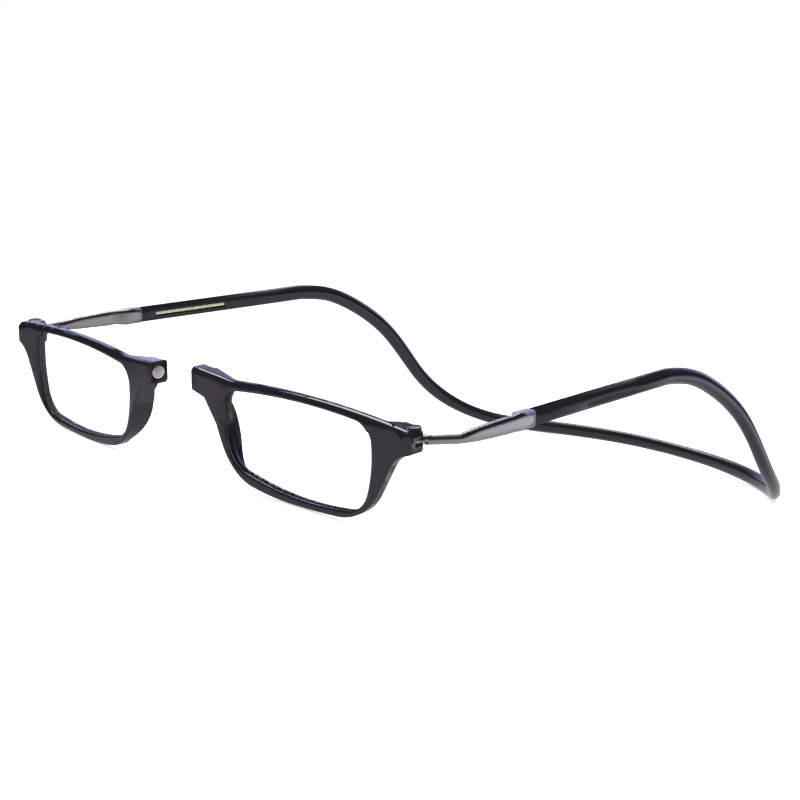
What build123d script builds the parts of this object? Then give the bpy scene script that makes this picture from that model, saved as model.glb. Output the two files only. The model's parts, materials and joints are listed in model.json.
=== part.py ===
from build123d import *
from math import atan2, cos, degrees, radians, sin
import os

# Magnetic bridge reading glasses, with the bridge open.
# Each piece is modelled level, as worn: X to the wearer's left, Y backwards, Z up, in millimetres.
# The zero level is the top of the endpieces at the hinge screws, and Y is zero on the hinge axes.
# The left piece of each pair is modelled, and the right one is its mirror image.
# At the end the whole object is pitched about X until the rims and the band stand on one plane.

# Places of the hinges and of the sleeves' mouths
bridge_gap = 9.2
mouth_spread = 1.9
mouth_back = 36.8
mouth_drop = 5.0
left_swing = 3.5
right_swing = 7.0

# Rim, seen from the front
front_distance = 4.5
rim_depth = 2.5
eye_width = 48.6
eye_height = 23.7
eye_start = 9.3
eye_top = 0.4
eye_upper_corner = 5.0
eye_nose_corner = 8.0
eye_temple_corner = 7.5
rim_top = 1.9
rim_bottom = 25.15
nose_lean = 20.0
top_bevel = 1.0
side_bevel = 0.3
eye_bevel = 0.4

# Bridge stub with its magnet
nose_width = 11.1
stub_top = 2.6
stub_bottom = 3.1
stub_depth = 5.0
stub_length = 4.4
stub_fall = 1.2
stub_ramp = 9.3
crease_height = 1.35
magnet_radius = 2.0
magnet_length = 2.5

# Nose pad
pad_depth = 5.8
pad_wall_inset = 0.5
pad_top = 4.5
pad_height = 16.4
pad_crown = 7.1
pad_top_depth = 3.5

# Endpiece, with the slot that the arm's eye turns in and the round boss over the screw
knuckle_radius = 2.2
knuckle_corner = 1.3
endpiece_inside = 2.4
endpiece_slope = 3.5
endpiece_bottom = 5.7
endpiece_fall = 0.5
boss_radius = 1.85
boss_rise = 0.45
slot_height = 1.7
slot_drop = 2.4

# Hinge screw and its threaded insert
screw_radius = 0.7
head_radius = 1.15
head_height = 0.9
head_recess = 0.15
driver_slot_length = 1.5
driver_slot_width = 0.3
driver_slot_depth = 0.35
insert_radius = 1.15
insert_length = 1.2

# Lens
lens_thickness = 1.5
lens_ridge = 0.5
lens_ridge_width = 0.7

# Metal arm
arm_eye_radius = 1.65
arm_eye_thickness = 1.5
neck_width = 1.9
neck_overlap = 0.8
rod_start = 2.9
rod_size = 2.3
rod_corner = 1.1
paddle_length = 26.4
flare_length = 6.0
flare_height = 3.35
paddle_height = 4.0
paddle_thickness = 2.2
paddle_corner = 0.8
scoop_length = 5.4
scoop_thickness = 1.8
ferrule_length = 5.0
shoulder_height = 4.5
ferrule_height = 4.2
ferrule_thickness = 3.4
ferrule_corner = 0.9

# Tongue, stop pin and ratchet strip of the length adjustment
tongue_height = 3.0
tongue_thickness = 0.9
tongue_seat = 2.0
tongue_length = 41.5
slide_travel = 18.0
pin_back = 21.3
pin_drop = 0.6
pin_radius = 0.5
strip_start = 4.6
strip_length = 24.0
strip_height = 0.6
strip_thickness = 0.6
strip_recess = 0.35
bead_radius = 0.5
bead_spacing = 1.0
bead_sides = 6

# Headband
sleeve_length = 57.0
sleeve_toe_in = 4.9
sleeve_fall = 1.6
sleeve_height = 4.2
sleeve_thickness = 3.4
sleeve_bevel = 1.1
band_height = 3.7
band_thickness = 3.0
band_bevel = 0.9
band_reach = 186.9
band_drop = 60.8
back_gap = 0.3

# Clearances, and the overrun of cuts
running_clearance = 0.05
seat_clearance = 0.02
slide_clearance = 0.1
turn_clearance = 0.25
mouth_gap = 0.1
overrun = 1.0

# Outline of the lens opening, four arcs by their starts and middles, from the temple's upper corner
# over the top: shares of its width from the temple and of its height from the bottom
eye_shares = [
    (0.012, 0.945), (0.500, 1.000), (0.990, 0.932), (1.000, 0.600),
    (0.926, 0.152), (0.500, 0.000), (0.062, 0.055), (0.000, 0.520),
]

# Middle of the rim's top edge, as a share of the stub's reach
crown_share = 0.35

# Lower edge of the rim from the nose to the temple, through the ends of arcs that run on into each
# other: shares of the stub's reach and of the rim's bottom
lower_edge_shares = [
    (0.877, 0.406), (0.845, 0.616), (0.788, 0.823), (0.697, 0.944), (0.493, 0.998),
    (0.290, 0.986), (0.177, 0.883), (0.110, 0.684), (0.049, 0.382),
]

# Share of the way to the sleeve's outer face that the arm has moved where its flare ends
flare_outward_share = 0.4

# Route of the band from the sleeve's end to the middle of the back: shares of the half width there,
# of the reach that is left and of the drop that is left
route_shares = [
    (0.992, 0.139, 0.054), (0.982, 0.281, 0.188), (0.975, 0.399, 0.363), (0.958, 0.512, 0.607),
    (0.904, 0.630, 0.804), (0.805, 0.753, 0.934), (0.644, 0.873, 0.989), (0.368, 0.964, 1.000),
]
route_stations = 15

# Tries at the pitch that the object stands at, each about a hundred times closer than the last
pitch_tries = 4

# Places worked out from the sizes above
stub_reach = eye_start + eye_width + nose_width
hinge_half_span = stub_reach + bridge_gap / 2
mouth_half_span = hinge_half_span + mouth_spread
front_y = -front_distance
rim_back_y = front_y + rim_depth
stub_back_y = front_y + stub_depth
stub_middle_y = (front_y + stub_back_y) / 2
stub_middle_z = (stub_top - stub_bottom) / 2
lens_y = (front_y + rim_back_y) / 2
slot_top_z = -slot_drop
slot_bottom_z = slot_top_z - slot_height
arm_eye_z = (slot_top_z + slot_bottom_z) / 2
boss_top_z = boss_rise - endpiece_fall
head_top_z = boss_top_z - head_recess
head_bottom_z = head_top_z - head_height

# Frame of the left sleeve: on its side plane X runs back along the sleeve, Y up and Z outwards
toe = radians(sleeve_toe_in)
fall = radians(sleeve_fall)
sleeve_run = Vector(-sin(toe) * cos(fall), cos(toe) * cos(fall), -sin(fall))
sleeve_out = Vector(cos(toe), sin(toe), 0)
mouth = Vector(mouth_half_span, mouth_back, -mouth_drop)
sleeve_side = Plane(origin=mouth, x_dir=sleeve_run, z_dir=sleeve_out)
inner_face = -sleeve_thickness / 2
outer_face = sleeve_thickness / 2


def across_sleeve(distance):
    """Plane square to the sleeve, this far behind its mouth."""
    return Plane(origin=mouth + sleeve_run * distance, x_dir=sleeve_out, z_dir=sleeve_run)


def eye_face(growth=0):
    """Outline of the lens opening seen from the front, grown by this much all round."""
    points = [
        (-eye_start - eye_width * across, eye_top - eye_height * (1 - up)) for across, up in eye_shares
    ]
    with BuildSketch() as eye:
        with BuildLine():
            ThreePointArc(points[0], points[1], points[2])
            ThreePointArc(points[2], points[3], points[4])
            ThreePointArc(points[4], points[5], points[6])
            ThreePointArc(points[6], points[7], points[0])
        make_face()
        if growth:
            offset(amount=growth, kind=Kind.INTERSECTION)
        fillet(eye.vertices().sort_by(Axis.Y)[2:], eye_upper_corner + growth)
        nose_end = eye.vertices().sort_by(Axis.Y)[:2].sort_by(Axis.X)[0]
        fillet(nose_end, eye_nose_corner + growth)
        temple_end = eye.vertices().sort_by(Axis.Y)[:3].sort_by(Axis.X)[-1]
        fillet(temple_end, eye_temple_corner + growth)
    return eye.sketch


def front_face():
    """Outline of one front half with its stub and endpiece, seen from the front."""
    stub_root = (-stub_reach + stub_length, -stub_bottom - stub_fall)
    endpiece_corner = (knuckle_radius, -endpiece_bottom)
    endpiece_peak = (knuckle_radius, -endpiece_fall)
    crown = (-stub_reach * crown_share, rim_top)
    crease = (-stub_reach + stub_length + stub_ramp, crease_height)
    stub_corner = (-stub_reach, stub_top)
    stub_foot = (-stub_reach, -stub_bottom)
    low_points = [(-stub_reach * reach, -rim_bottom * down) for reach, down in lower_edge_shares]
    along = Vector(sin(radians(nose_lean)), -cos(radians(nose_lean)))
    with BuildSketch() as front:
        with BuildLine():
            ThreePointArc(endpiece_peak, crown, crease)
            Polyline(crease, stub_corner, stub_foot, stub_root, low_points[0])
            for start, end in zip(low_points, low_points[1:] + [endpiece_corner]):
                arc = TangentArc(start, end, tangent=along)
                along = arc.tangent_at(1)
            Line(endpiece_corner, endpiece_peak)
        make_face()
    return front.sketch


def plan_face():
    """Outline of one front half seen from above."""
    slope_start = -endpiece_inside
    slope_end = slope_start - endpiece_slope
    ramp_end = -stub_reach + stub_length
    ramp_start = ramp_end + stub_ramp
    corner_start = (knuckle_radius, front_y + knuckle_corner)
    corner_end = (knuckle_radius - knuckle_corner, front_y)
    with BuildSketch() as plan:
        with BuildLine():
            Line((knuckle_radius, 0), corner_start)
            RadiusArc(corner_start, corner_end, knuckle_corner)
            Polyline(
                corner_end,
                (-stub_reach, front_y),
                (-stub_reach, stub_back_y),
                (ramp_end, stub_back_y),
                (ramp_start, rim_back_y),
                (slope_end, rim_back_y),
                (slope_start, knuckle_radius),
                (0, knuckle_radius),
            )
            RadiusArc((0, knuckle_radius), (knuckle_radius, 0), knuckle_radius)
        make_face()
    return plan.sketch


def pad_side_face():
    """Outline of the nose pad seen from the nose, with X backwards and Y up."""
    start = (rim_back_y - overrun, -pad_top)
    shoulder = (front_y + pad_top_depth, -pad_top)
    crown = (front_y + pad_depth, -pad_top - pad_crown)
    toe_point = (rim_back_y, -pad_top - pad_height)
    with BuildSketch() as side:
        with BuildLine():
            Line(start, shoulder)
            ThreePointArc(shoulder, crown, toe_point)
            Polyline(toe_point, (start[0], toe_point[1]), start)
        make_face()
    return side.sketch


def slot_face():
    """Outline of the endpiece's slot seen from above: the eye's seat, open backwards and outwards."""
    seat = arm_eye_radius + turn_clearance
    inside = neck_width / 2 + slide_clearance
    reach = knuckle_radius + overrun
    with BuildSketch() as slot:
        Circle(seat)
        with Locations((-inside, 0)):
            Rectangle(inside + reach, reach, align=(Align.MIN, Align.MIN))
        with Locations((0, -seat)):
            Rectangle(reach, seat + overrun, align=(Align.MIN, Align.MIN))
    return slot.sketch


def build_rim():
    """Front half: rim, bridge stub, nose pad and endpiece in one moulding."""
    rim_height = rim_bottom + stub_top + rim_top
    through = pad_depth + front_distance
    with BuildPart() as pad:
        with BuildSketch(Plane.XZ.offset(front_distance)):
            add(front_face())
            add(eye_face(pad_wall_inset), mode=Mode.SUBTRACT)
        extrude(amount=-pad_depth)
        with BuildSketch(Plane.YZ.offset(-stub_reach)):
            add(pad_side_face())
        extrude(amount=eye_width / 2, mode=Mode.INTERSECT)
    with BuildPart() as rim:
        with BuildSketch(Plane.XY.offset(-rim_bottom - overrun)):
            add(plan_face())
        extrude(amount=rim_height)
        with BuildSketch(Plane.XZ):
            add(front_face())
        extrude(amount=through, both=True, mode=Mode.INTERSECT)
        with BuildSketch(Plane.XZ):
            add(eye_face())
        extrude(amount=through, both=True, mode=Mode.SUBTRACT)
        add(pad.part)
        top_edges = rim.faces().sort_by(Axis.Y)[0].outer_wire().edges().sort_by(Axis.Z)
        chamfer(top_edges[-2:], length=top_bevel)
        front = rim.faces().sort_by(Axis.Y)[0]
        side_edges = front.outer_wire().edges().sort_by(Axis.Z)[:-2].sort_by(Axis.X)
        chamfer(side_edges[:-1], length=side_bevel)
        front = rim.faces().sort_by(Axis.Y)[0]
        chamfer(front.inner_wires()[0].edges(), length=eye_bevel)
        # Boss over the hinge screw
        with BuildSketch(Plane.XY.offset(slot_top_z)):
            Circle(boss_radius)
        extrude(amount=boss_top_z - slot_top_z)
        # Groove round the opening for the lens's ridge
        groove = lens_ridge_width + 2 * seat_clearance
        with BuildSketch(Plane.XZ.offset(-lens_y - groove / 2)):
            add(eye_face(lens_ridge + seat_clearance))
        extrude(amount=groove, mode=Mode.SUBTRACT)
        # Slot for the arm's eye, the screw's holes and the insert's hole
        with BuildSketch(Plane.XY.offset(slot_bottom_z)):
            add(slot_face())
        extrude(amount=slot_height, mode=Mode.SUBTRACT)
        with BuildSketch(Plane.XY.offset(head_bottom_z)):
            Circle(head_radius + running_clearance)
        extrude(amount=rim_height, mode=Mode.SUBTRACT)
        with BuildSketch(Plane.XY.offset(-rim_bottom)):
            Circle(insert_radius + seat_clearance)
        extrude(amount=rim_bottom - endpiece_bottom + insert_length, mode=Mode.SUBTRACT)
        with BuildSketch(Plane.XY.offset(-rim_bottom)):
            Circle(screw_radius + running_clearance)
        extrude(amount=rim_height, mode=Mode.SUBTRACT)
        # Pocket for the magnet in the stub's end
        with BuildSketch(Plane(origin=(-stub_reach, stub_middle_y, stub_middle_z), z_dir=(-1, 0, 0))):
            Circle(magnet_radius + seat_clearance)
        extrude(amount=-magnet_length, mode=Mode.SUBTRACT)
    return rim.part


def build_lens():
    """Clear lens with the ridge round its edge that sits in the rim's groove."""
    with BuildPart() as lens:
        with BuildSketch(Plane.XZ.offset(-lens_y - lens_thickness / 2)):
            add(eye_face(-seat_clearance))
        extrude(amount=lens_thickness)
        with BuildSketch(Plane.XZ.offset(-lens_y - lens_ridge_width / 2)):
            add(eye_face(lens_ridge))
        extrude(amount=lens_ridge_width)
    return lens.part


def build_magnet():
    """Disc magnet, flush with the stub's end."""
    with BuildPart() as magnet:
        with BuildSketch(Plane(origin=(-stub_reach, stub_middle_y, stub_middle_z), z_dir=(-1, 0, 0))):
            Circle(magnet_radius)
        extrude(amount=-magnet_length)
    return magnet.part


def build_screw():
    """Hinge screw with a cross recess in its head."""
    with BuildPart() as screw:
        with BuildSketch(Plane.XY.offset(head_bottom_z)):
            Circle(head_radius)
        extrude(amount=head_height)
        with BuildSketch(Plane.XY.offset(-endpiece_bottom)):
            Circle(screw_radius)
        extrude(amount=head_bottom_z + endpiece_bottom)
        with BuildSketch(Plane.XY.offset(head_top_z - driver_slot_depth)):
            Rectangle(driver_slot_length, driver_slot_width)
            Rectangle(driver_slot_width, driver_slot_length)
        extrude(amount=driver_slot_depth + overrun, mode=Mode.SUBTRACT)
    return screw.part


def build_insert():
    """Threaded insert pressed into the endpiece from below."""
    with BuildPart() as insert:
        with BuildSketch(Plane.XY.offset(-endpiece_bottom)):
            Circle(insert_radius)
            Circle(screw_radius + seat_clearance, mode=Mode.SUBTRACT)
        extrude(amount=insert_length)
    return insert.part


def arm_station(ahead, height, thickness, corner, outward=1.0):
    """One section of the arm, square to the sleeve and this far ahead of its mouth."""
    to_outer_face = (ferrule_thickness - thickness) / 2
    centre = mouth - sleeve_run * ahead + sleeve_out * to_outer_face * outward
    with BuildSketch(Plane(origin=centre, x_dir=-sleeve_out, z_dir=sleeve_run)) as section:
        RectangleRounded(thickness, height, corner)
    return section.sketch


def build_arm():
    """Metal arm: flat eye and neck, round rod, long paddle, and the ferrule at the sleeve's mouth."""
    eye_centre = Vector(hinge_half_span, 0, arm_eye_z)
    bend = mouth - sleeve_run * paddle_length
    rod_run = (bend - eye_centre).normalized()
    neck_turn = -degrees(atan2(rod_run.X, rod_run.Y))
    scoop_middle = ferrule_length + scoop_length / 2
    with BuildPart() as shaft:
        with BuildSketch(Plane(origin=eye_centre + rod_run * rod_start, x_dir=-sleeve_out, z_dir=rod_run)):
            RectangleRounded(rod_size, rod_size, rod_corner)
        with BuildSketch(Plane(origin=bend, x_dir=-sleeve_out, z_dir=rod_run + sleeve_run)):
            RectangleRounded(rod_size, rod_size, rod_corner)
        add(arm_station(
            paddle_length - flare_length, flare_height, paddle_thickness, paddle_corner, flare_outward_share
        ))
        add(arm_station(ferrule_length + scoop_length, paddle_height, paddle_thickness, paddle_corner))
        add(arm_station(scoop_middle, paddle_height, scoop_thickness, paddle_corner))
        add(arm_station(ferrule_length, shoulder_height, ferrule_thickness, ferrule_corner))
        add(arm_station(mouth_gap, ferrule_height, ferrule_thickness, ferrule_corner))
        loft(ruled=True)
    with BuildPart() as arm:
        with BuildSketch(Plane.XY.offset(arm_eye_z - arm_eye_thickness / 2)):
            with Locations(Location((hinge_half_span, 0, 0), (0, 0, neck_turn))):
                Circle(arm_eye_radius)
                Rectangle(neck_width, rod_start + neck_overlap, align=(Align.CENTER, Align.MIN))
        extrude(amount=arm_eye_thickness)
        add(shaft.part)
        with BuildSketch(Plane.XY.offset(arm_eye_z)):
            with Locations((hinge_half_span, 0)):
                Circle(screw_radius + running_clearance)
        extrude(amount=arm_eye_thickness, both=True, mode=Mode.SUBTRACT)
        # Pocket for the tongue in the ferrule's rear
        with BuildSketch(across_sleeve(-tongue_seat - seat_clearance)):
            Rectangle(tongue_thickness + 2 * seat_clearance, tongue_height + 2 * seat_clearance)
        extrude(amount=tongue_seat + overrun, mode=Mode.SUBTRACT)
    return arm.part


def build_tongue():
    """Flat metal tongue that slides in the sleeve, with the long slot that the stop pin runs in."""
    slot_start = pin_back - pin_radius - slide_clearance
    slot_length = slide_travel + 2 * (pin_radius + slide_clearance)
    with BuildPart() as tongue:
        with BuildSketch(sleeve_side.offset(-tongue_thickness / 2)):
            with Locations((-tongue_seat, 0)):
                Rectangle(tongue_length + tongue_seat, tongue_height, align=(Align.MIN, Align.CENTER))
            with Locations((slot_start + slot_length / 2, -pin_drop)):
                SlotOverall(slot_length, 2 * (pin_radius + slide_clearance), mode=Mode.SUBTRACT)
        extrude(amount=tongue_thickness)
    return tongue.part


def build_stop_pin():
    """Cross pin through the sleeve's outer wall and the tongue's slot."""
    with BuildPart() as pin:
        with BuildSketch(sleeve_side.offset(outer_face)):
            with Locations((pin_back, -pin_drop)):
                Circle(pin_radius)
        extrude(amount=-outer_face - tongue_thickness / 2 - running_clearance)
    return pin.part


def build_ratchet_strip():
    """Beaded strip in the window of the sleeve's inner face."""
    beads = int(strip_length / bead_spacing)
    with BuildPart() as strip:
        with BuildSketch(sleeve_side.offset(inner_face + strip_recess)):
            with Locations((strip_start + strip_length / 2, 0)):
                Rectangle(strip_length, strip_height)
                with GridLocations(bead_spacing, bead_spacing, beads, 1):
                    RegularPolygon(bead_radius, bead_sides)
        extrude(amount=strip_thickness)
    return strip.part


def band_section(plane, share):
    """Bevelled section of the band, this share of the way from the sleeve to the middle of the back."""
    height = sleeve_height + (band_height - sleeve_height) * share
    thickness = sleeve_thickness + (band_thickness - sleeve_thickness) * share
    bevel = sleeve_bevel + (band_bevel - sleeve_bevel) * share
    with BuildSketch(plane) as section:
        Rectangle(thickness, height)
        chamfer(section.vertices(), length=bevel)
    return section.sketch


def band_route():
    """Centre line of the whole band, from the left sleeve's end round the back to the right one's."""
    start = mouth + sleeve_run * sleeve_length
    left_points = [start] + [
        Vector(
            start.X * out,
            start.Y + (band_reach - start.Y) * back,
            start.Z + (-band_drop - start.Z) * down,
        )
        for out, back, down in route_shares
    ]
    middle = Vector(0, band_reach, -band_drop)
    right_points = [Vector(-point.X, point.Y, point.Z) for point in reversed(left_points)]
    right_run = Vector(sleeve_run.X, -sleeve_run.Y, -sleeve_run.Z)
    return Spline(
        *left_points, middle, *right_points,
        tangents=(sleeve_run, right_run), tangent_scalars=(1, 1),
    )


def build_headband():
    """One half of the headband: the hollow sleeve, the ear bend and half of the back."""
    route = band_route()
    half_length = (route.length - back_gap) / 2
    with BuildPart() as curve:
        for station in range(route_stations + 1):
            share = station / route_stations
            centre = route.position_at(share * half_length, PositionMode.LENGTH)
            run = route.tangent_at(share * half_length, PositionMode.LENGTH)
            out = run.cross(Vector(0, 0, 1)).normalized()
            add(band_section(Plane(origin=centre, x_dir=out, z_dir=run), share))
        loft()
    with BuildPart() as band:
        add(band_section(across_sleeve(0), 0))
        add(band_section(across_sleeve(sleeve_length), 0))
        loft(ruled=True)
        add(curve.part)
        with BuildSketch(across_sleeve(-overrun)):
            Rectangle(tongue_thickness + 2 * slide_clearance, tongue_height + 2 * slide_clearance)
        extrude(amount=tongue_length + 2 * overrun, mode=Mode.SUBTRACT)
        with BuildSketch(sleeve_side):
            with Locations((strip_start + strip_length / 2, 0)):
                Rectangle(strip_length, 2 * (bead_radius + turn_clearance))
        extrude(amount=inner_face - overrun, mode=Mode.SUBTRACT)
        with BuildSketch(sleeve_side):
            with Locations((pin_back, -pin_drop)):
                Circle(pin_radius + seat_clearance)
        extrude(amount=outer_face + overrun, mode=Mode.SUBTRACT)
    return band.part


def hinged(shape, swing):
    """Piece of a front half, swung open about its hinge and moved to its place on the left."""
    with BuildPart() as placed:
        with Locations(Location((hinge_half_span, 0, 0), (0, 0, swing))):
            add(shape)
    return placed.part


def mirrored(shape):
    """The right twin of a left piece."""
    with BuildPart() as twin:
        add(shape)
        mirror(about=Plane.YZ, mode=Mode.REPLACE)
    return twin.part


def lowest(shapes, pitch):
    """Lowest level of these pieces once they are pitched about X by this angle."""
    return min(shape.rotate(Axis.X, pitch).bounding_box().min.Z for shape in shapes)


# The ten pieces of a side, level as worn
front_pieces = {
    "rim": build_rim(),
    "lens": build_lens(),
    "magnet": build_magnet(),
    "hinge_screw": build_screw(),
    "hinge_insert": build_insert(),
}
temple_pieces = {
    "arm": build_arm(),
    "tongue": build_tongue(),
    "stop_pin": build_stop_pin(),
    "ratchet_strip": build_ratchet_strip(),
    "headband": build_headband(),
}
pieces = {}
for name, shape in front_pieces.items():
    pieces["left_" + name] = hinged(shape, left_swing)
    pieces["right_" + name] = mirrored(hinged(shape, right_swing))
for name, shape in temple_pieces.items():
    pieces["left_" + name] = shape
    pieces["right_" + name] = mirrored(shape)

# Pitch that stands the rims' lowest points and the back of the band on one plane
rims = [pieces["left_rim"], pieces["right_rim"]]
bands = [pieces["left_headband"]]
pitch = 0
for _ in range(pitch_tries):
    pitch += degrees((lowest(rims, pitch) - lowest(bands, pitch)) / (band_reach + front_distance))

# The origin is then the middle of the bottom of the whole object's box
boxes = [shape.rotate(Axis.X, pitch).bounding_box() for shape in pieces.values()]
back_end = max(box.max.Y for box in boxes)
front_end = min(box.min.Y for box in boxes)
floor = min(box.min.Z for box in boxes)
stand = Location((0, -(back_end + front_end) / 2, -floor), (pitch, 0, 0))
print("pitch in degrees:", round(pitch, 3), " shift:", stand.position)

os.makedirs("parts", exist_ok=True)
for name, shape in pieces.items():
    with BuildPart() as piece:
        with Locations(stand):
            add(shape)
    piece.part.label = name
    export_step(piece.part, f"parts/{name}.step")
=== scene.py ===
import json
import math

import bmesh
import bpy
from mathutils import Matrix, Vector


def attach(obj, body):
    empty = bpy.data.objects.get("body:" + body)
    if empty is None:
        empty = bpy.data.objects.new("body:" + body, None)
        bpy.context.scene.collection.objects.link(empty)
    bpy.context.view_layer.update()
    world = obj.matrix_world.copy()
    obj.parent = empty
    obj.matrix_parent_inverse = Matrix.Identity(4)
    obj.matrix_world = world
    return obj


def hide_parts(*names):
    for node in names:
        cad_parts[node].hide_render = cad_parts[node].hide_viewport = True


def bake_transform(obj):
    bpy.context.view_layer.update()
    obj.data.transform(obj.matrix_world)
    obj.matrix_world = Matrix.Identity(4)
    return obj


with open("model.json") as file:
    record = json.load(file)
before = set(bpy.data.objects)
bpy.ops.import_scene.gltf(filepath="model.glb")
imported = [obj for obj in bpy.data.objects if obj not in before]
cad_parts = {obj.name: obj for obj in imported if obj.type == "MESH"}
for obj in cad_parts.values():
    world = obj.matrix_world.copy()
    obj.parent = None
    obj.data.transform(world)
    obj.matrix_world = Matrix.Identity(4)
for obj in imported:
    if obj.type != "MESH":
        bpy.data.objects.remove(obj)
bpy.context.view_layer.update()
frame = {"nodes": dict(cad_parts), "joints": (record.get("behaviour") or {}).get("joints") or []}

MM = 0.001

# The frame's own turn from level, as worn, to standing on its rims and band, read from the flex joint's axis
joints = {joint["name"]: joint for joint in frame["joints"]}
flex_axis = Vector(joints["headband_flex"]["axis"])
pitch = math.atan2(-flex_axis.y, flex_axis.z)
left_hinge = Vector(joints["left_rim_swing"]["pos_m"])
worn_to_standing = Matrix.Rotation(pitch, 3, "X")

# The photograph's camera, in the level frame: its angles, its lens and its place from the left hinge
camera_yaw = math.radians(45.76)
camera_height_angle = math.radians(15.51)
camera_roll = math.radians(-0.16)
camera_lens_mm = 91.88
sensor_width_mm = 36
camera_from_hinge = Vector((311.88, -307.91, 130.98)) * MM
nearest_seen = 10 * MM

# The wearer's left side is the near one in the photograph. Outwards is along X, and at rest the nose end of
# each front half swings forward by its own angle.
outward_of = {"left": 1, "right": -1}
swing_of = {"left": math.radians(3.5), "right": math.radians(7.0)}

# Height of the swing joint's own point in a front half's frame
hinge_level = -3.25 * MM

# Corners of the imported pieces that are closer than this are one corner
same_corner = 0.001 * MM

# Shading breaks at edges sharper than this, in degrees: on rims and magnets, and on the band and the arms
crisp_crease = 30
smooth_crease = 50


def standing(vector):
    """A direction or an offset given level, as worn, in the standing frame."""
    return worn_to_standing @ Vector(vector)


def soft_step(value, low, high):
    """0 below low, 1 above high and smooth between them."""
    share = min(max((value - low) / (high - low), 0), 1)
    return share * share * (3 - 2 * share)


def hinge_place(side):
    """From a front half's own frame to the standing one: X points outwards from its hinge, Y back, Z up."""
    outward = outward_of[side]
    hinge = Vector(joints[side + "_rim_swing"]["pos_m"])
    turn = worn_to_standing.to_4x4() @ Matrix.Rotation(outward * swing_of[side], 4, "Z")
    mirror = Matrix.Diagonal((outward, 1, 1, 1))
    return Matrix.Translation(hinge) @ turn @ mirror @ Matrix.Translation((0, 0, -hinge_level))


def merged_copy(*names):
    """The meshes of these CAD nodes in one bmesh, with their loose triangles merged."""
    shape = bmesh.new()
    for name in names:
        shape.from_mesh(frame["nodes"][name].data)
    bmesh.ops.remove_doubles(shape, verts=shape.verts, dist=same_corner)
    return shape


def mesh_from(name, shape):
    """A mesh from a finished bmesh."""
    mesh = bpy.data.meshes.new(name)
    shape.to_mesh(mesh)
    shape.free()
    return mesh


def place_in_scene(name, data):
    """An object in the scene with this mesh, lamp or camera."""
    thing = bpy.data.objects.new(name, data)
    bpy.context.scene.collection.objects.link(thing)
    return thing


def new_piece(name, shape, material, crease):
    """An object from a finished bmesh, shaded smooth but for edges sharper than the crease in degrees."""
    mesh = mesh_from(name, shape)
    mesh.shade_smooth()
    mesh.set_sharp_from_angle(angle=math.radians(crease))
    piece = place_in_scene(name, mesh)
    dress(piece, material)
    return piece


def keep_flats_flat(piece):
    """Weighs the shading by the faces' areas: broad flat faces stay flat beside their rounded edges."""
    even_weight = 50
    normals = piece.modifiers.new("flats", "WEIGHTED_NORMAL")
    normals.mode = "FACE_AREA_WITH_ANGLE"
    normals.weight = even_weight
    normals.keep_sharp = True


# Shader maths


class Socket:
    """A value in a material: Python arithmetic on it adds Math nodes to the material."""

    def __init__(self, finish, socket):
        self.finish = finish
        self.socket = socket

    def maths(self, operation, *others):
        values = dict(enumerate((self, *others)))
        return self.finish.node("ShaderNodeMath", {"operation": operation}, values)

    def __add__(self, other):
        return self.maths("ADD", other)

    def __mul__(self, other):
        return self.maths("MULTIPLY", other)

    def __rsub__(self, other):
        return self.finish.node("ShaderNodeMath", {"operation": "SUBTRACT"}, {0: other, 1: self})

    __radd__ = __add__
    __rmul__ = __mul__


class Finish:
    """A node tree being built: a material's or the world's."""

    def __init__(self, tree):
        self.tree = tree
        self.tree.nodes.clear()

    def node(self, kind, settings=None, values=None, output=0):
        """Adds a node, gives it its settings and then its sockets' values or links."""
        made = self.tree.nodes.new(kind)
        for name, setting in (settings or {}).items():
            setattr(made, name, setting)
        for key, value in (values or {}).items():
            socket = made.inputs[key]
            if isinstance(value, Socket):
                self.tree.links.new(value.socket, socket)
            elif isinstance(value, tuple) and socket.type == "RGBA":
                socket.default_value = (*value, 1)
            else:
                socket.default_value = value
        return Socket(self, made.outputs[output]) if made.outputs else None

    def place(self, scale=(1, 1, 1), turn=(0, 0, 0)):
        """The surface's place in object coordinates, turned and then scaled."""
        here = self.node("ShaderNodeTexCoord", output="Object")
        turned = self.node("ShaderNodeMapping", values={"Vector": here, "Rotation": turn})
        return self.node("ShaderNodeMapping", values={"Vector": turned, "Scale": scale})

    def axes(self, coordinates, names):
        """The axes with these names, each on its own, of one kind of texture coordinates."""
        way = self.node("ShaderNodeTexCoord", output=coordinates)
        return [self.node("ShaderNodeSeparateXYZ", values={"Vector": way}, output=name) for name in names]

    def noise(self, place, size, detail):
        """Soft noise between 0 and 1 with features of this size in metres."""
        return self.node(
            "ShaderNodeTexNoise", values={"Vector": place, "Scale": 1 / size, "Detail": detail}
        )

    def span(self, value, low, high, high_to=1.0):
        """Smooth step of a value: 0 at low and high_to at high."""
        return self.node(
            "ShaderNodeMapRange",
            {"interpolation_type": "SMOOTHSTEP"},
            {"Value": value, "From Min": low, "From Max": high, "To Max": high_to},
        )

    def blend(self, share, first, second):
        """Mix of two colours."""
        return self.node(
            "ShaderNodeMix", {"data_type": "RGBA"}, {0: share, 6: first, 7: second}, output=2
        )

    def rounded(self, radius):
        """Normal of a surface with softly rounded edges."""
        return self.node("ShaderNodeBevel", {"samples": 8}, {"Radius": radius})

    def bump(self, height, distance, normal=None):
        """Normal of a surface with this relief, on top of another normal if one is given."""
        values = {"Height": height, "Distance": distance}
        if normal is not None:
            values["Normal"] = normal
        return self.node("ShaderNodeBump", values=values)

    def surface(self, **values):
        """Principled shader on the material's output, with sockets named by words joined with _."""
        named = {name.replace("_", " "): value for name, value in values.items()}
        shader = self.node("ShaderNodeBsdfPrincipled", values=named)
        self.node("ShaderNodeOutputMaterial", values={"Surface": shader})


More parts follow.
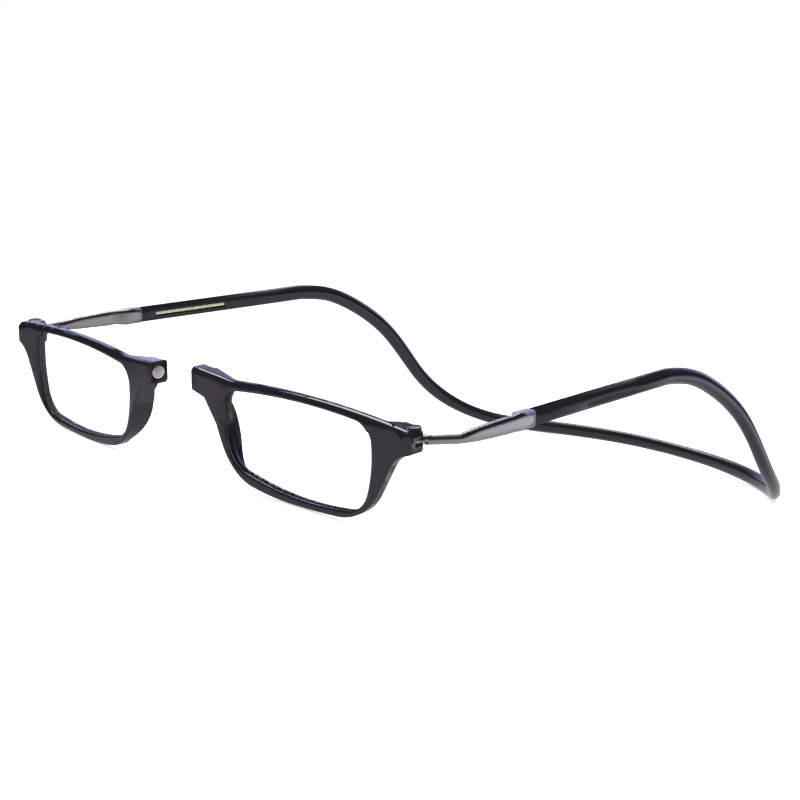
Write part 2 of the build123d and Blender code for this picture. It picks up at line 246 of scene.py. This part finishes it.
def new_material(name):
    material = bpy.data.materials.new(name)
    material.use_nodes = True
    return material, Finish(material.node_tree)


def gloss_black(name, gloss, grain_size, rounding, refraction):
    """Black moulded plastic with a faint violet cast, fine uneven gloss and softly rounded edges."""
    cloud_size = 6 * MM
    grain_height = 0.0006 * MM
    deep_black = (0.008, 0.0075, 0.010)
    worn_black = (0.013, 0.012, 0.016)
    material, finish = new_material(name)
    place = finish.place()
    cloud = finish.noise(place, cloud_size, detail=3)
    grain = finish.noise(place, grain_size, detail=2)
    finish.surface(
        Base_Color=finish.blend(cloud, deep_black, worn_black),
        Roughness=gloss + 0.04 * cloud + 0.03 * grain,
        IOR=refraction,
        Normal=finish.bump(grain, grain_height, normal=finish.rounded(rounding)),
    )
    return material


def satin_nickel(name, along):
    """Satin nickel, brushed along the arm: a warm grey metal with fine drawn streaks and soft edges."""
    streak_width = 0.16 * MM
    streak_depth = 0.0012 * MM
    stretch = (1, 0.04, 1)
    cloud_size = 5 * MM
    edge_radius = 1.3 * MM
    dark_metal = (0.31, 0.295, 0.28)
    light_metal = (0.38, 0.365, 0.35)
    material, finish = new_material(name)
    turn = Vector((0, 1, 0)).rotation_difference(along).inverted().to_euler()
    streaks = finish.noise(finish.place(scale=stretch, turn=tuple(turn)), streak_width, detail=2)
    cloud = finish.noise(finish.place(), cloud_size, detail=2)
    finish.surface(
        Base_Color=finish.blend(cloud, dark_metal, light_metal),
        Metallic=1.0,
        Roughness=0.20 + 0.12 * streaks + 0.04 * cloud,
        Normal=finish.bump(streaks, streak_depth, normal=finish.rounded(edge_radius)),
    )
    return material


def plated(name, dark, light, rough, speck_size):
    """Plated or turned metal with small specks and uneven gloss."""
    speck_height = 0.01 * MM
    material, finish = new_material(name)
    specks = finish.noise(finish.place(), speck_size, detail=3)
    finish.surface(
        Base_Color=finish.blend(specks, dark, light),
        Metallic=1.0,
        Roughness=rough + 0.15 * specks,
        Normal=finish.bump(specks, speck_height),
    )
    return material


def clear_plastic(name):
    """Clear lens plastic: a shine that grows towards the edge of sight on the side that is seen."""
    wave_size = 9 * MM
    wave_height = 0.002 * MM
    first_shine = 0.45
    full_shine = 0.95
    strongest = 0.7
    material, finish = new_material(name)
    wave = finish.noise(finish.place(), wave_size, detail=1)
    grazing = finish.node("ShaderNodeLayerWeight", values={"Blend": 0.5}, output="Facing")
    behind = finish.node("ShaderNodeNewGeometry", output="Backfacing")
    shine = finish.span(grazing, first_shine, full_shine, high_to=strongest)
    finish.surface(
        Base_Color=(0.93, 0.95, 1.0),
        Metallic=1.0,
        Roughness=0.02,
        Alpha=shine * (1 - behind),
        Normal=finish.bump(wave, wave_height),
    )
    return material


def moulded_light(name):
    """Pale moulded plastic of the ratchet strip, with painted shade: random dark brown mottling over it."""
    mottling_size = 0.7 * MM
    mottling_height = 0.05 * MM
    painted_shade_brown = (0.24, 0.17, 0.09)
    clean = (0.92, 0.87, 0.74)
    material, finish = new_material(name)
    # Random mottling: it paints shade in dark brown, and also varies the gloss and the relief
    shade_mottling = finish.noise(finish.place(), mottling_size, detail=3)
    finish.surface(
        Base_Color=finish.blend(shade_mottling, painted_shade_brown, clean),
        Roughness=0.45 + 0.2 * shade_mottling,
        Normal=finish.bump(shade_mottling, mottling_height),
    )
    return material


def dress(piece, material):
    piece.data.materials.clear()
    piece.data.materials.append(material)


frame_black = gloss_black(
    "frame_black", gloss=0.05, grain_size=0.25 * MM, rounding=0.25 * MM, refraction=1.45
)
band_black = gloss_black(
    "band_black", gloss=0.16, grain_size=0.18 * MM, rounding=1.2 * MM, refraction=1.50
)
arm_along = standing((0.05, 1, -0.03))
arm_nickel = satin_nickel("arm_nickel", arm_along)
magnet_nickel = plated(
    "magnet_nickel", dark=(0.76, 0.72, 0.67), light=(0.96, 0.93, 0.89), rough=0.34, speck_size=0.45 * MM
)
screw_steel = plated(
    "screw_steel", dark=(0.16, 0.16, 0.18), light=(0.40, 0.40, 0.42), rough=0.25, speck_size=0.2 * MM
)
insert_brass = plated(
    "insert_brass", dark=(0.55, 0.40, 0.18), light=(0.75, 0.58, 0.30), rough=0.30, speck_size=0.2 * MM
)
pin_black = plated(
    "pin_black", dark=(0.02, 0.02, 0.025), light=(0.05, 0.05, 0.055), rough=0.35, speck_size=0.2 * MM
)
lens_clear = clear_plastic("lens_clear")
strip_pale = moulded_light("strip_pale")

finish_of = {
    "rim": frame_black,
    "headband": band_black,
    "lens": lens_clear,
    "magnet": magnet_nickel,
    "hinge_screw": screw_steel,
    "hinge_insert": insert_brass,
    "arm": arm_nickel,
    "tongue": arm_nickel,
    "stop_pin": pin_black,
    "ratchet_strip": strip_pale,
}
for name, node in frame["nodes"].items():
    dress(node, finish_of[name.split("_", 1)[1]])


# Rims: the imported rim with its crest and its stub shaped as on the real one. These places and lengths are in
# millimetres, in a front half's own frame, where the nose lies at negative X.

crest_y = -3.5
crest_from_x = -67
crest_to_x = 1.06
crest_place_error = 0.004
crest_radius = 0.8
crest_cuts = (3, 6, 9, 13, 18, 24, 31, 39, 47, 60.5, 64.6, 66.9)
crest_faces_up = 0.3
seam_lowest_z = -4
seam_last_y = -1.9
seam_faces_up = 0.6
bevel_front_y = -4.45
bevel_lowest_z = -2.2
bevel_widens_from_x = -18
bevel_widest_x = 0
bevel_widening = 1.3
stub_from_x = -64
stub_corner_length = 1.9
stub_corner_straightness = 0.9
stub_corner_radius = 0.7
knuckle_cut_size = (10, 5.5, 12)
knuckle_cut_middle = (-1.5, 0.77, -11.75)
sharp_angle = math.radians(32)
flat_angle = math.radians(0.1)


def round_edges(shape, edges, width, segments):
    """Rounds these edges of a shape."""
    bmesh.ops.bevel(
        shape, geom=edges, offset=width * MM, offset_type="OFFSET", segments=segments, profile=0.5,
        affect="EDGES", material=-1, clamp_overlap=False,
    )


def faces_up(edge, least):
    """Whether the faces beside this edge all look up, by at least this much of their normal."""
    return all(face.normal.z > least for face in edge.link_faces)


def is_sharp(edge):
    return edge.calc_face_angle(0) > sharp_angle


def is_top_seam(edge):
    """Whether this edge only parts two flush faces of the rim's top."""
    in_place = all(vert.co.z > seam_lowest_z * MM and vert.co.y < seam_last_y * MM for vert in edge.verts)
    return in_place and faces_up(edge, seam_faces_up) and edge.calc_face_angle(0) < flat_angle


def is_on_crest_line(vert):
    """Whether this corner lies on the crest's line."""
    x = vert.co.x / MM
    y = vert.co.y / MM
    return abs(y - crest_y) < crest_place_error and crest_from_x < x < crest_to_x


def is_crest(edge):
    """Whether this is one of the edges along the crest."""
    on_line = all(is_on_crest_line(vert) for vert in edge.verts)
    return on_line and is_sharp(edge) and faces_up(edge, crest_faces_up)


def shape_crest(shape):
    """A round crest, over a front bevel that widens towards the hinge.

    The right half is turned inside out by its mirrored frame, so its faces look down here, no edge of it is
    picked and its crest stays sharp.
    """
    seams = [edge for edge in shape.edges if is_top_seam(edge)]
    bmesh.ops.dissolve_edges(shape, edges=seams, use_verts=False, use_face_split=False)
    for ahead in crest_cuts:
        bmesh.ops.bisect_plane(
            shape, geom=shape.verts[:] + shape.edges[:] + shape.faces[:],
            plane_co=(-ahead * MM, 0, 0), plane_no=(1, 0, 0),
        )
    crest = [edge for edge in shape.edges if is_crest(edge)]
    round_edges(shape, crest, crest_radius, segments=5)
    for vert in shape.verts:
        x, y, z = vert.co / MM
        if y < bevel_front_y and z > bevel_lowest_z and x > bevel_widens_from_x:
            vert.co.z -= bevel_widening * MM * soft_step(x, bevel_widens_from_x, bevel_widest_x)


def round_stub(shape):
    """Rounds the long corners at the stub's end."""
    corners = []
    for edge in shape.edges:
        run = (edge.verts[1].co - edge.verts[0].co) / MM
        outer_x = max(vert.co.x for vert in edge.verts) / MM
        is_long = run.length > stub_corner_length and abs(run.x) > stub_corner_straightness * run.length
        if outer_x < stub_from_x and is_long and is_sharp(edge):
            corners.append(edge)
    round_edges(shape, corners, stub_corner_radius, segments=4)


def cut_below_knuckle(piece):
    """Takes the rim back to its own depth below the hinge's knuckle, in the front half's own frame."""
    shape = bmesh.new()
    bmesh.ops.create_cube(shape, size=1)
    bmesh.ops.scale(shape, vec=Vector(knuckle_cut_size) * MM, verts=shape.verts)
    bmesh.ops.translate(shape, vec=Vector(knuckle_cut_middle) * MM, verts=shape.verts)
    cutter = place_in_scene("knuckle_cut", mesh_from("knuckle_cut", shape))
    cut = piece.modifiers.new("cut", "BOOLEAN")
    cut.operation = "DIFFERENCE"
    cut.solver = "EXACT"
    cut.object = cutter
    graph = bpy.context.evaluated_depsgraph_get()
    result = bpy.data.meshes.new_from_object(piece.evaluated_get(graph))
    piece.modifiers.clear()
    piece.data = result
    bpy.data.objects.remove(cutter)


def fix_order(mesh):
    """Sorts edges and faces by their corners, because rounding and cutting leave their order to chance."""
    shape = bmesh.new()
    shape.from_mesh(mesh)
    count = len(shape.verts)

    def rank(element):
        """A number from the first three corners of an edge or a face and from how many corners it has."""
        corners = sorted(vert.index for vert in element.verts)
        total = 0
        for index in corners[:3]:
            total = total * count + index
        return total * count + len(corners)

    shape.edges.sort(key=rank)
    shape.faces.sort(key=rank)
    shape.to_mesh(mesh)
    shape.free()


def build_rim(side):
    place = hinge_place(side)
    shape = merged_copy(side + "_rim")
    bmesh.ops.transform(shape, matrix=place.inverted(), verts=shape.verts)
    shape_crest(shape)
    round_stub(shape)
    piece = new_piece(side + "_rim_moulding", shape, frame_black, crisp_crease)
    cut_below_knuckle(piece)
    fix_order(piece.data)
    # The mirror turns the right half's faces inwards, so they are turned back
    piece.data.transform(place)
    if place.is_negative:
        piece.data.flip_normals()
    piece.data.set_sharp_from_angle(angle=math.radians(crisp_crease))
    keep_flats_flat(piece)
    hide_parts(side + "_rim")
    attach(piece, side + "_rim")


# Magnets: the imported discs, drawn in a little and with a rounded rim

magnet_drawn_in = 0.88
magnet_edge_radius = 0.2
magnet_edge_angle = math.radians(60)


def build_magnet(side):
    place = hinge_place(side)
    shape = merged_copy(side + "_magnet")
    bmesh.ops.transform(shape, matrix=place.inverted(), verts=shape.verts)
    ends = [vert.co.copy() for vert in shape.verts]
    middle = sum(ends, Vector()) / len(ends)
    draw_in = Matrix.Diagonal((1, magnet_drawn_in, magnet_drawn_in, 1))
    slimmed = Matrix.Translation(middle) @ draw_in @ Matrix.Translation(-middle)
    bmesh.ops.transform(shape, matrix=place @ slimmed, verts=shape.verts)
    rims = [edge for edge in shape.edges if edge.calc_face_angle(0) > magnet_edge_angle]
    round_edges(shape, rims, magnet_edge_radius, segments=3)
    piece = new_piece(side + "_magnet_disc", shape, magnet_nickel, crisp_crease)
    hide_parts(side + "_magnet")
    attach(piece, side + "_rim")


# Headband: both packed halves joined into the one strip that it really is. The places are in millimetres from
# the frame's origin.

near_corner_lift = 1.0
near_corner_across = (5, 45)
near_corner_back = (55, 85)
far_bend_drop = 0.7
far_bend_across = (40, 52)
far_bend_starts = (46, 62)
far_bend_ends = (80, 94)
lift_height = (0, 8)
cut_face_reach = 0.3
cut_face_across = 0.9


def band_lift(x, y):
    """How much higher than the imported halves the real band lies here."""
    near_corner = soft_step(x, *near_corner_across) * soft_step(y, *near_corner_back)
    along_bend = soft_step(y, *far_bend_starts) * (1 - soft_step(y, *far_bend_ends))
    far_bend = soft_step(-x, *far_bend_across) * along_bend
    return near_corner_lift * near_corner - far_bend_drop * far_bend


def is_cut_face(face):
    """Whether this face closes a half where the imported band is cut, in the middle of its back."""
    reach = max(abs(vert.co.x) for vert in face.verts)
    return abs(face.normal.x) > cut_face_across and reach < cut_face_reach * MM


def build_band():
    shape = merged_copy("left_headband", "right_headband")
    cut_faces = [face for face in shape.faces if is_cut_face(face)]
    bmesh.ops.delete(shape, geom=cut_faces, context="FACES")
    ends = [edge for edge in shape.edges if edge.is_boundary]
    bmesh.ops.bridge_loops(shape, edges=ends)
    for vert in shape.verts:
        x, y, z = vert.co / MM
        vert.co.z += band_lift(x, y) * soft_step(z, *lift_height) * MM
    piece = new_piece("headband_strip", shape, band_black, smooth_crease)
    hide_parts("left_headband", "right_headband")
    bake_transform(piece)


# Arms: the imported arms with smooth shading


def build_arm(side):
    shape = merged_copy(side + "_arm")
    piece = new_piece(side + "_arm_metal", shape, arm_nickel, smooth_crease)
    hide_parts(side + "_arm")
    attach(piece, side + "_arm")


# Stage: floor, studio, lamps and camera


def build_floor():
    """White floor for the camera, with the object's soft shadow. The gloss mirrors a glow with painted light.
    """
    glow_strength = 0.62
    floor_grey = (0.80, 0.80, 0.81)
    # Colours of the floor that only the gloss sees: plain, and where a bright patch is painted
    plain_tint = (0.76, 0.72, 0.77)
    painted_bright_patch_colour = (1.45, 1.50, 1.85)
    # Where the painted shade and the painted brightness start and where they are full, in metres
    shaded_across, shaded_depth = (-0.045, -0.085), (0.06, 0.02)
    bright_across, bright_depth = (0.06, 0.16), (0.04, 0.12)
    shape = bmesh.new()
    bmesh.ops.create_grid(shape, x_segments=1, y_segments=1, size=4)
    floor = place_in_scene("floor", mesh_from("floor", shape))
    material, finish = new_material("floor_white")
    seen = finish.node("ShaderNodeLightPath", output="Is Camera Ray")
    through = finish.node("ShaderNodeLightPath", output="Is Transmission Ray")
    mirrored = finish.node("ShaderNodeLightPath", output="Is Glossy Ray")
    glow = finish.node(
        "ShaderNodeEmission", values={"Color": (1.0, 1.0, 1.0), "Strength": glow_strength * (seen + through)}
    )
    matt = finish.node("ShaderNodeBsdfDiffuse", values={"Color": floor_grey})
    both = finish.node("ShaderNodeAddShader", values={0: glow, 1: matt})
    across, depth = finish.axes("Object", "XY")
    # Painted shade towards the far side and the front, and a painted bright patch towards the near side and
    # the back, seen only in the gloss
    shaded = finish.span(across, *shaded_across) * finish.span(depth, *shaded_depth)
    bright = finish.span(depth, *bright_depth) * finish.span(across, *bright_across)
    tint = finish.blend(bright, plain_tint, painted_bright_patch_colour)
    tint = finish.blend(0.5 * shaded, tint, (0.0, 0.0, 0.0))
    # A glow that only the gloss sees: it paints these bright and shaded reflections on the object
    even = finish.node("ShaderNodeEmission", values={"Color": tint, "Strength": 1.0})
    shown = finish.node("ShaderNodeMixShader", values={0: mirrored, 1: both, 2: even})
    finish.node("ShaderNodeOutputMaterial", values={"Surface": shown})
    dress(floor, material)


def build_world():
    """White for the camera. The gloss mirrors a dark studio with bright cards and a pale horizon."""
    # The dark of the studio and the colours of what stands in it
    dark_studio = (0.02, 0.02, 0.022)
    card_colour = (0.90, 0.95, 1.55)
    horizon_colour = (0.60, 0.62, 0.78)
    strip_colour = (8.0, 8.2, 8.6)
    overhead_colour = (1.1, 1.1, 1.15)
    soft_light = (0.9, 0.93, 1.0)
    soft_strength = 0.55
    # Where each starts and where it is full, as parts of the direction's length
    card_depth, card_top, card_bottom, card_across = (-0.15, 0.25), (0.62, 0.42), (0.06, 0.16), (0.2, -0.1)
    strip_height, strip_depth, strip_across = (0.69, 0.71), (0.02, 0.08), (-0.3, -0.5)
    overhead_height = (0.90, 0.97)
    horizon_depth, horizon_height = (0.10, 0.40), (0.10, -0.02)
    world = bpy.data.worlds.new("studio")
    bpy.context.scene.world = world
    world.use_nodes = True
    finish = Finish(world.node_tree)
    across, depth, height = finish.axes("Generated", "XYZ")
    card = finish.span(depth, *card_depth) * finish.span(height, *card_top)
    card = card * finish.span(height, *card_bottom) * finish.span(across, *card_across)
    strip = finish.span(height, *strip_height) * finish.span(depth, *strip_depth)
    strip = strip * finish.span(across, *strip_across)
    overhead = finish.span(height, *overhead_height)
    horizon = finish.span(depth, *horizon_depth) * finish.span(height, *horizon_height)
    level = finish.blend(card, dark_studio, card_colour)
    level = finish.blend(horizon, level, horizon_colour)
    level = finish.blend(strip, level, strip_colour)
    level = finish.blend(overhead, level, overhead_colour)
    white = finish.node("ShaderNodeBackground", values={"Color": (1.0, 1.0, 1.0), "Strength": 1.0})
    studio = finish.node("ShaderNodeBackground", values={"Color": level, "Strength": 1.0})
    soft = finish.node("ShaderNodeBackground", values={"Color": soft_light, "Strength": soft_strength})
    glossy = finish.node("ShaderNodeLightPath", output="Is Glossy Ray")
    camera = finish.node("ShaderNodeLightPath", output="Is Camera Ray")
    through = finish.node("ShaderNodeLightPath", output="Is Transmission Ray")
    seen = camera.maths("MAXIMUM", through)
    mixed = finish.node("ShaderNodeMixShader", values={0: glossy, 1: soft, 2: studio})
    final = finish.node("ShaderNodeMixShader", values={0: seen, 1: mixed, 2: white})
    finish.node("ShaderNodeOutputWorld", values={"Surface": final})


def add_lamp(name, place, target, size, watts):
    """Soft square lamp that lights the object and the floor, and isn't mirrored in the gloss."""
    light = bpy.data.lights.new(name, "AREA")
    light.size = size
    light.energy = watts
    lamp = place_in_scene(name, light)
    lamp.location = place
    lamp.rotation_euler = (Vector(target) - Vector(place)).to_track_quat("-Z", "Y").to_euler()
    lamp.visible_glossy = False


def build_camera():
    """Camera at the photograph's place and angle."""
    right = Vector((math.cos(camera_yaw), math.sin(camera_yaw), 0))
    back = Vector((
        math.sin(camera_yaw) * math.cos(camera_height_angle),
        -math.cos(camera_yaw) * math.cos(camera_height_angle),
        math.sin(camera_height_angle),
    ))
    up = back.cross(right)
    turn = Matrix((standing(right), standing(up), standing(back))).transposed()
    turn = turn @ Matrix.Rotation(camera_roll, 3, "Z")
    data = bpy.data.cameras.new("camera")
    data.sensor_width = sensor_width_mm
    data.lens = camera_lens_mm
    data.clip_start = nearest_seen
    camera = place_in_scene("camera", data)
    place = left_hinge + standing(camera_from_hinge)
    camera.matrix_world = Matrix.Translation(place) @ turn.to_4x4()
    bpy.context.scene.camera = camera


build_band()
for side in ("left", "right"):
    build_rim(side)
    build_magnet(side)
    build_arm(side)
build_floor()
build_world()
add_lamp("top_lamp", place=(0.1, -0.1, 0.9), target=(0, 0, 0), size=0.9, watts=9)
add_lamp("front_lamp", place=(0.5, -0.8, 0.5), target=(0, 0, 0.02), size=0.7, watts=4)
build_camera()
bpy.context.scene.view_settings.view_transform = "Standard"
